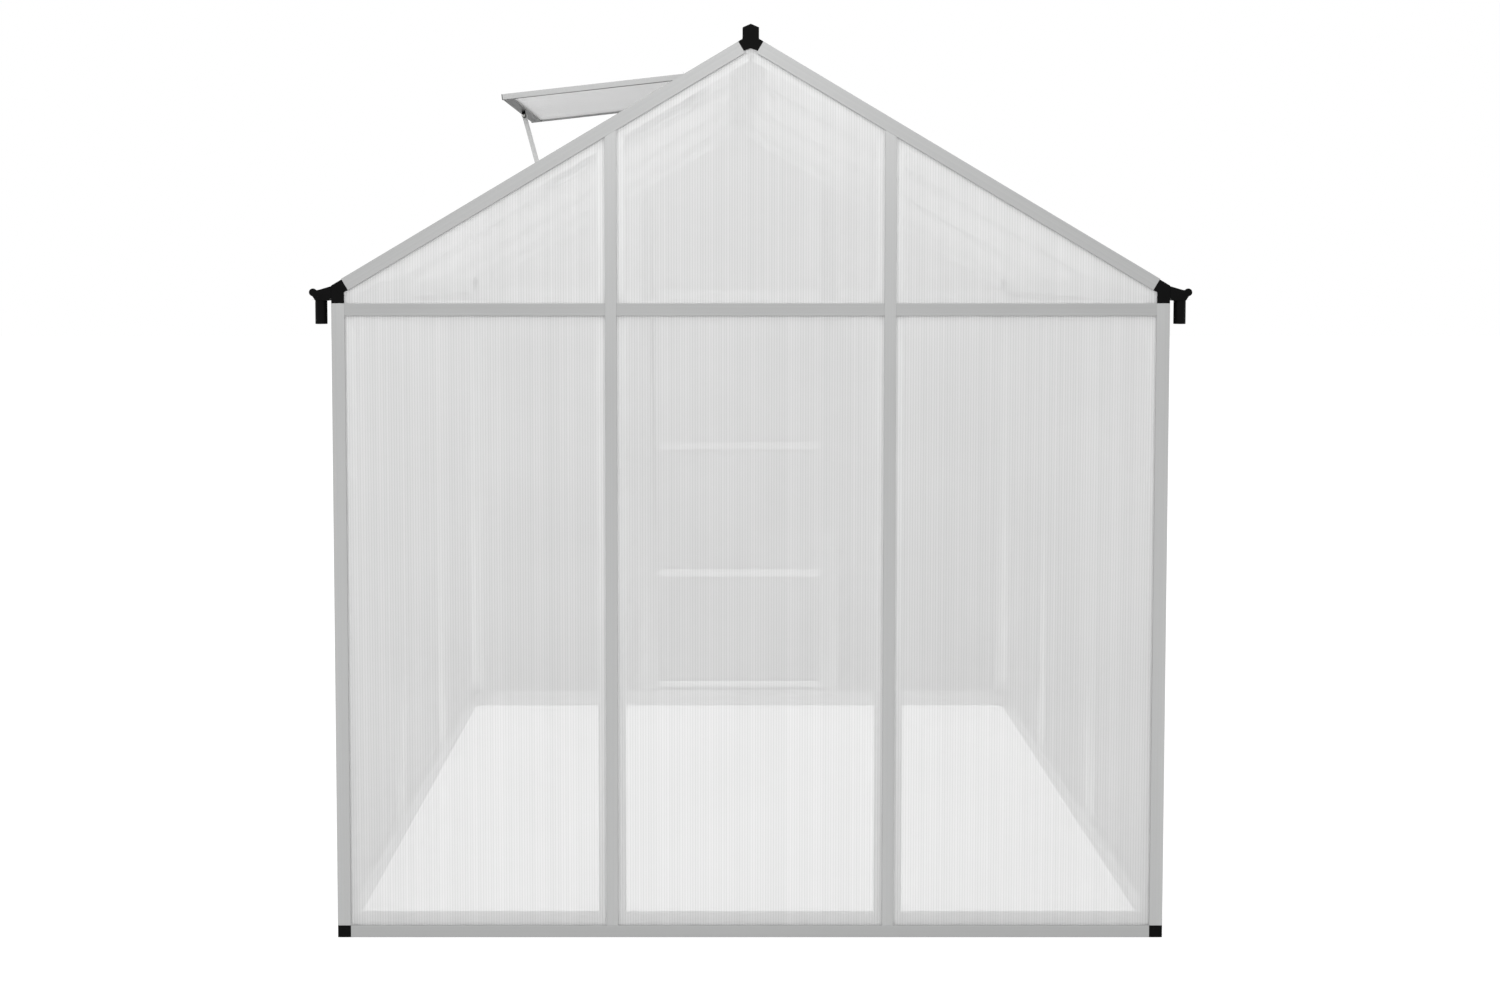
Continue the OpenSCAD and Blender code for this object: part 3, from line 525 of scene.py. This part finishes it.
def block(low, high):
    """Prism between two corners."""
    ring = [
        Vector((low[0], low[1], low[2])), Vector((high[0], low[1], low[2])),
        Vector((high[0], high[1], low[2])), Vector((low[0], high[1], low[2])),
    ]
    return ring, UP * (high[2] - low[2])


def slope_point(side, s, y, out):
    """Point of a roof slope: up from the wall face, along the house, out of the roof."""
    across = HALF_W - s * math.cos(ROOF_PITCH) + out * math.sin(ROOF_PITCH)
    up = EAVE_Z + s * math.sin(ROOF_PITCH) + out * math.cos(ROOF_PITCH)
    return Vector((side * across, MID_Y + y, up))


def slope_normal(side):
    return Vector((side * math.sin(ROOF_PITCH), 0, math.cos(ROOF_PITCH)))


# Profiles of the fasteners, as (radius, height)
DOME = ([
    (0.0042, 0), (0.0042, 0.0008), (0.0036, 0.0019), (0.0022, 0.0026), (0.0012, 0.0027), (0.0012, 0.0015),
], 16)
WASHER = ([(0.0060, 0), (0.0063, 0.0003), (0.0063, 0.0009), (0.0060, 0.0012)], 20)
NUT = ([(0.0042, 0), (0.0046, 0.0004), (0.0046, 0.0036), (0.0042, 0.0040)], 6)
BOLT_END = ([(0.0024, 0.0040), (0.0024, 0.0062), (0.0019, 0.0068)], 12)
HEX_HEAD = ([(0.0058, 0.0012), (0.0058, 0.0046), (0.0052, 0.0052)], 6)
COLLAR = ([(0.0100, 0), (0.0100, 0.0020), (0.0088, 0.0036), (0.0066, 0.0044)], 24)
KNUCKLE = ([(0.0049, -0.0090), (0.0054, -0.0084), (0.0054, 0.0084), (0.0049, 0.0090)], 24)

# Nuts on the room side of the bars
POST_NUT_ZS = (0.075, 1.40)
ROOF_NUT_SS = (0.07, 1.00)
CORE_NUT_D = 0.0152
nut_spots = []
for side in SIDES:
    for plane, inward in GABLES:
        core_y = plane + inward * CORE_W
        for z in POST_NUT_ZS:
            nut_spots += [
                (Vector((side * BAY / 2, plane + inward * STEM_D, z)), Vector((0, inward, 0))),
                (Vector((side * (HALF_W - CORE_NUT_D), core_y, z)), Vector((0, inward, 0))),
                (Vector((side * (HALF_W - CORE_W), plane + inward * CORE_NUT_D, z)), Vector((-side, 0, 0))),
            ]
    for end in SIDES:
        for z in POST_NUT_ZS:
            at = Vector((side * (HALF_W - STEM_D), MID_Y + end * BAY / 2, z))
            nut_spots.append((at, Vector((-side, 0, 0))))
        for s in ROOF_NUT_SS:
            nut_spots.append((slope_point(side, s, end * BAY / 2, -STEM_D), -slope_normal(side)))
fasteners("frame_nuts", nut_spots, (NUT, BOLT_END), "house", ZINC)

# Angle on the inner faces of the base rails at each corner
ANGLE_REACH = 0.085
ANGLE_CUT = 0.0395
ANGLE_T = 0.002
ANGLE_ZS = (0.006, 0.046)
ANGLE_BOLT = 0.062
angle_outline = [
    (ANGLE_REACH, STEM_D), (ANGLE_CUT, STEM_D), (STEM_D, ANGLE_CUT), (STEM_D, ANGLE_REACH),
    (STEM_D + ANGLE_T, ANGLE_REACH), (STEM_D + ANGLE_T, ANGLE_CUT + ANGLE_T / 2),
    (ANGLE_CUT + ANGLE_T / 2, STEM_D + ANGLE_T), (ANGLE_REACH, STEM_D + ANGLE_T),
]
angles = []
angle_bolts = []
for side in SIDES:
    for plane, inward in GABLES:
        ring = [Vector((side * (HALF_W - u), plane + inward * v, ANGLE_ZS[0])) for u, v in angle_outline]
        angles.append((ring, UP * (ANGLE_ZS[1] - ANGLE_ZS[0])))
        face = STEM_D + ANGLE_T
        z = sum(ANGLE_ZS) / 2
        angle_bolts += [
            (Vector((side * (HALF_W - ANGLE_BOLT), plane + inward * face, z)), Vector((0, inward, 0))),
            (Vector((side * (HALF_W - face), plane + inward * ANGLE_BOLT, z)), Vector((-side, 0, 0))),
        ]
# The base angles take the dimmer copy: painted shade.
plates("base_angles", angles, PLATE_EDGE, "house", ALU_PAINTED_DIMMER)
fasteners("base_angle_bolts", angle_bolts, (WASHER, HEX_HEAD), "house", ZINC)

# Plates under the ridge that tie the rafters, one on each side of the ridge's rib
APEX_OUTLINE = ((0.006, 0.0106), (0.095, 0.0106), (0.095, 0.032), (0.050, 0.044), (0.006, 0.044))
APEX_T = 0.002
APEX_BOLTS = ((0.045, 0.0155), (0.082, 0.0155))


def apex_point(side, x, below, y):
    """Point out from the ridge's middle, at a depth under the roof surface."""
    return Vector((side * x, y, RIDGE_Z - x * math.tan(ROOF_PITCH) - below / math.cos(ROOF_PITCH)))


apex_plates = []
apex_bolts = []
for side in SIDES:
    for plane, inward in GABLES:
        y = plane + inward * CORE_W
        away = Vector((0, inward, 0))
        apex_plates.append(([apex_point(side, x, n, y) for x, n in APEX_OUTLINE], away * APEX_T))
        apex_bolts += [(apex_point(side, x, n, y) + away * APEX_T, away) for x, n in APEX_BOLTS]
# The apex plates take the brighter copy: painted light.
plates("apex_plates", apex_plates, PLATE_EDGE, "house", ALU_PAINTED_BRIGHT)
fasteners("apex_nuts", apex_bolts, (NUT, BOLT_END), "house", ZINC)

# Strips that close the lower ends of the roof sheets
SHEET_END_S = -EAVE_OVER / math.cos(ROOF_PITCH)
STRIP_OUTLINE = (
    (-0.0008, -0.0079), (-0.0008, -0.0014), (0.012, -0.0014),
    (0.012, -0.0021), (0.0, -0.0021), (0.0, -0.0079),
)
CORNER_REACH = 0.031
LIP_HALF = 0.0135
BAY_ENDS = (
    (CORNER_REACH - HALF_L, -BAY / 2 - LIP_HALF), (LIP_HALF - BAY / 2, BAY / 2 - LIP_HALF),
    (BAY / 2 + LIP_HALF, HALF_L - CORNER_REACH),
)
strips = []
for side in SIDES:
    for y0, y1 in BAY_ENDS:
        ring = [slope_point(side, SHEET_END_S + s, y0, out) for s, out in STRIP_OUTLINE]
        strips.append((ring, Vector((0, y1 - y0, 0))))
plates("roof_edge_strips", strips, STRIP_EDGE, "house", ALU_Y)

# Vent: hinge knuckles and screws, bolts of the stay, plugs in the tips of the side rails
VENT_OPEN = math.radians(24.3)
VENT_L = 0.431
VENT_RAIL_T = 0.0125
VENT_TOP_GAP = 0.1605
VENT_HINGE_S = SLOPE_L - VENT_TOP_GAP
VENT_START_Y = -0.905
VENT_LAP = 0.004
FLANGE_HALF = 0.032
VENT_YS = (VENT_START_Y, VENT_LAP - FLANGE_HALF - BAY / 2)
HINGE_L = 0.060
HINGE_YS = (VENT_YS[0] + HINGE_L, VENT_YS[1] - HINGE_L)
KNUCKLE_STEP = 0.020
LEAF_SCREW = (0.0125, 0.002)
PIVOT_BACK = 0.012
PIVOT_DROP = 0.010
STAY_TOP = (PIVOT_BACK - VENT_L, -VENT_RAIL_T - PIVOT_DROP)
STAY_HALF = 0.007
STAY_T = 0.004
PLUG_T = 0.0015


def flap_point(back, y, out):
    """Point of the raised flap: back from the hinge line, along the house, out of the flap."""
    tilt = ROOF_PITCH - VENT_OPEN
    hinge = slope_point(-1, VENT_HINGE_S, y, 0)
    return hinge + Vector((
        back * math.cos(tilt) - out * math.sin(tilt), 0, back * math.sin(tilt) + out * math.cos(tilt),
    ))


ALONG = Vector((0, 1, 0))
knuckles = []
leaf_screws = []
for y in HINGE_YS:
    for i in (-1, 0, 1):
        knuckles.append((slope_point(-1, VENT_HINGE_S, y + i * KNUCKLE_STEP, 0), ALONG))
    for i in SIDES:
        at = slope_point(-1, VENT_HINGE_S + LEAF_SCREW[0], y + i * KNUCKLE_STEP, LEAF_SCREW[1])
        leaf_screws.append((at, slope_normal(-1)))
fasteners("vent_hinge_knuckles", knuckles, (KNUCKLE,), "house", BLACK)
fasteners("vent_hinge_screws", leaf_screws, (DOME,), "house", ZINC)

vent_mid = sum(VENT_YS) / 2
stay_ends = (
    flap_point(STAY_TOP[0], vent_mid, STAY_TOP[1]),
    slope_point(-1, VENT_HINGE_S - VENT_L, vent_mid, PIVOT_DROP),
)
stay_bolts = []
for end in stay_ends:
    stay_bolts.append((end + ALONG * (STAY_HALF + STAY_T), ALONG))
    stay_bolts.append((end - ALONG * STAY_HALF, -ALONG))
fasteners("vent_stay_bolts", stay_bolts, (DOME,), "house", ZINC)

plugs = []
for y in (VENT_YS[0], VENT_YS[1] - VENT_RAIL_T):
    ring = [
        flap_point(-VENT_L, y, 0), flap_point(-VENT_L, y + VENT_RAIL_T, 0),
        flap_point(-VENT_L, y + VENT_RAIL_T, -VENT_RAIL_T), flap_point(-VENT_L, y, -VENT_RAIL_T),
    ]
    plugs.append((ring, flap_point(-PLUG_T, 0, 0) - flap_point(0, 0, 0)))
plates("vent_rail_plugs", plugs, PLUG_EDGE, "house", BLACK)

# Door: screws at the rails' ends, hanger feet and bolts, handle collars, plugs on the stiles, track stops
DOOR_LAP = 0.0135
DOOR_GAP = 0.006
DOOR_T = 0.016
DOOR_HALF = BAY / 2 + DOOR_LAP
DOOR_ZS = (0.014, 1.426)
DOOR_BACK_Y = FRONT_Y + DOOR_GAP
DOOR_FACE_Y = DOOR_BACK_Y + DOOR_T
STILE_W = 0.028
RAIL_SCREW_ZS = (0.032, 0.062, 0.4658, 0.9177, 1.412)
HANGER_X = 0.250
HANGER_FOOT = (0.020, 0.0135, 0.0025)
HANGER_OUT = 0.020
HANGER_FACE_Y = FRONT_Y + HANGER_OUT
HANGER_SCREW_X = 0.012
WHEEL_Z = 1.4875
HANDLE_ZS = (1.0714, 0.9334)
STOP_L = 0.014
TRACK_INSET = 0.020
TRACK_X = (-DOOR_HALF, HALF_W - TRACK_INSET)
TRACK_TOP = 1.4665
STOP_H = 0.016
STOP_YS = (FRONT_Y + 0.0004, FRONT_Y + 0.0128)

stile_x = DOOR_HALF - STILE_W / 2
rail_screws = [(Vector((side * stile_x, DOOR_FACE_Y, z)), ALONG) for side in SIDES for z in RAIL_SCREW_ZS]
fasteners("door_screws", rail_screws, (DOME,), "door", ZINC)

feet = []
foot_screws = []
axle_bolts = []
foot_half, foot_d, foot_t = HANGER_FOOT
for side in SIDES:
    x = side * HANGER_X
    feet.append(block(
        (x - foot_half, HANGER_FACE_Y - foot_d, DOOR_ZS[1]),
        (x + foot_half, HANGER_FACE_Y, DOOR_ZS[1] + foot_t),
    ))
    for i in SIDES:
        at = Vector((x + i * HANGER_SCREW_X, HANGER_FACE_Y - foot_d / 2, DOOR_ZS[1] + foot_t))
        foot_screws.append((at, UP))
    axle_bolts.append((Vector((x, HANGER_FACE_Y, WHEEL_Z)), ALONG))
plates("door_hanger_feet", feet, FOOT_EDGE, "door", BLACK)
fasteners("door_hanger_screws", foot_screws, (DOME,), "door", ZINC)
fasteners("door_axle_bolts", axle_bolts, (WASHER, HEX_HEAD), "door", ZINC)

collars = [(Vector((-stile_x, DOOR_FACE_Y, z)), ALONG) for z in HANDLE_ZS]
fasteners("door_handle_collars", collars, (COLLAR,), "door", BLACK)

stile_plugs = []
for side in SIDES:
    x0, x1 = sorted((side * DOOR_HALF, side * (DOOR_HALF - STILE_W)))
    for z0, z1 in ((DOOR_ZS[0] - PLUG_T, DOOR_ZS[0]), (DOOR_ZS[1], DOOR_ZS[1] + PLUG_T)):
        stile_plugs.append(block((x0, DOOR_BACK_Y, z0), (x1, DOOR_FACE_Y, z1)))
plates("door_stile_plugs", stile_plugs, STILE_PLUG_EDGE, "door", BLACK)

stops = []
for x0, x1 in ((TRACK_X[0], TRACK_X[0] + STOP_L), (TRACK_X[1] - STOP_L, TRACK_X[1])):
    stops.append(block((x0, STOP_YS[0], TRACK_TOP), (x1, STOP_YS[1], TRACK_TOP + STOP_H)))
plates("door_track_stops", stops, STOP_EDGE, "house", ALU_X)


# Stage

def grey(level):
    return (level, level, level, 1)


def sight(tree, faces):
    """Two values of a ray: 1 if it shows the surroundings, and 1 if it has crossed few faces so far."""
    path = node(tree, "ShaderNodeLightPath")
    shown = math_node(
        tree, "MAXIMUM", path.outputs["Is Camera Ray"],
        math_node(tree, "MAXIMUM", path.outputs["Is Glossy Ray"], path.outputs["Is Transmission Ray"]),
    )
    near = math_node(tree, "LESS_THAN", path.outputs["Transparent Depth"], faces)
    return shown, near


def floor_material():
    """Pale floor that reads as white, with the object's shadow on it; dim where sheets hide it."""
    mat = bpy.data.materials.new("floor_white")
    mat.use_nodes = True
    tree = mat.node_tree
    tree.nodes.remove(tree.nodes["Principled BSDF"])
    out = tree.nodes["Material Output"]
    plain = node(tree, "ShaderNodeBsdfDiffuse", {"Color": grey(FLOOR_TONE)})
    shadow = node(tree, "ShaderNodeBsdfDiffuse", {"Color": grey(FLOOR_SHADOW)})
    place = node(tree, "ShaderNodeTexCoord").outputs["Object"]
    split = node(tree, "ShaderNodeSeparateXYZ", {0: place})
    off_mid = math_node(tree, "SUBTRACT", split.outputs[1], MID_Y)
    inside = math_node(
        tree, "MULTIPLY",
        math_node(tree, "LESS_THAN", math_node(tree, "ABSOLUTE", split.outputs[0]), HALF_W),
        math_node(tree, "LESS_THAN", math_node(tree, "ABSOLUTE", off_mid), HALF_L),
    )
    # Lower glow inside the house's footprint: painted shade.
    strength = ramp(tree, inside, *FLOOR_GLOW)
    glow = node(tree, "ShaderNodeEmission", {"Color": grey(1), "Strength": strength})
    white = node(tree, "ShaderNodeAddShader", {0: shadow.outputs[0], 1: glow.outputs[0]})
    dim = node(tree, "ShaderNodeBsdfDiffuse", {"Color": grey(DIM_FLOOR)})
    shown, near = sight(tree, ramp(tree, inside, NO_SHEET, ONE_SHEET))
    look = node(tree, "ShaderNodeMixShader", {"Fac": near, 1: dim.outputs[0], 2: white.outputs[0]})
    mix = node(tree, "ShaderNodeMixShader", {"Fac": shown, 1: plain.outputs[0], 2: look.outputs[0]})
    tree.links.new(mix.outputs[0], out.inputs["Surface"])
    return mat


FLOOR_SIZE = 60.0
FLOOR_DROP = 0.0005
bpy.ops.mesh.primitive_plane_add(size=FLOOR_SIZE, location=(0, 0, -FLOOR_DROP))
floor = bpy.context.object
floor.name = "studio_floor"
floor.data.materials.append(floor_material())


def studio_world():
    """White surroundings that light the object evenly and look dim through the sheets."""
    world = bpy.data.worlds.new("studio")
    world.use_nodes = True
    tree = world.node_tree
    background = tree.nodes["Background"]
    background.inputs["Color"].default_value = grey(1)
    shown, near = sight(tree, NO_SHEET)
    look = ramp(tree, near, DIM_LEVEL - LIGHT_LEVEL, 1 - LIGHT_LEVEL)
    strength = math_node(tree, "ADD", math_node(tree, "MULTIPLY", shown, look), LIGHT_LEVEL)
    tree.links.new(strength, background.inputs["Strength"])
    return world


bpy.context.scene.world = studio_world()


def soft_light(name, place, aim, size, power):
    """Large square lamp aimed at a point."""
    data = bpy.data.lights.new(name, "AREA")
    data.shape = "SQUARE"
    data.size = size
    data.energy = power
    lamp = bpy.data.objects.new(name, data)
    lamp.location = place
    lamp.rotation_euler = (Vector(aim) - Vector(place)).to_track_quat("-Z", "Y").to_euler()
    bpy.context.scene.collection.objects.link(lamp)
    return lamp


KEY_AT = (-0.5, -3.8, 4.8)
KEY_AIM = (0, 0, 1.0)
KEY_SIZE = 6.0
KEY_POWER = 252
soft_light("key", KEY_AT, KEY_AIM, KEY_SIZE, KEY_POWER)

camera_data = bpy.data.cameras.new("photo_view")
camera_data.lens = CAMERA_LENS
camera_data.sensor_width = SENSOR_W
camera_data.shift_x, camera_data.shift_y = CAMERA_SHIFT
camera = bpy.data.objects.new("photo_view", camera_data)
camera.location = CAMERA_AT
camera.rotation_euler = (QUARTER - CAMERA_PITCH, 0, 0)
bpy.context.scene.collection.objects.link(camera)
bpy.context.scene.camera = camera

scene = bpy.context.scene
scene.view_settings.view_transform = "Standard"
scene.cycles.diffuse_bounces = 3
scene.cycles.transparent_max_bounces = 32
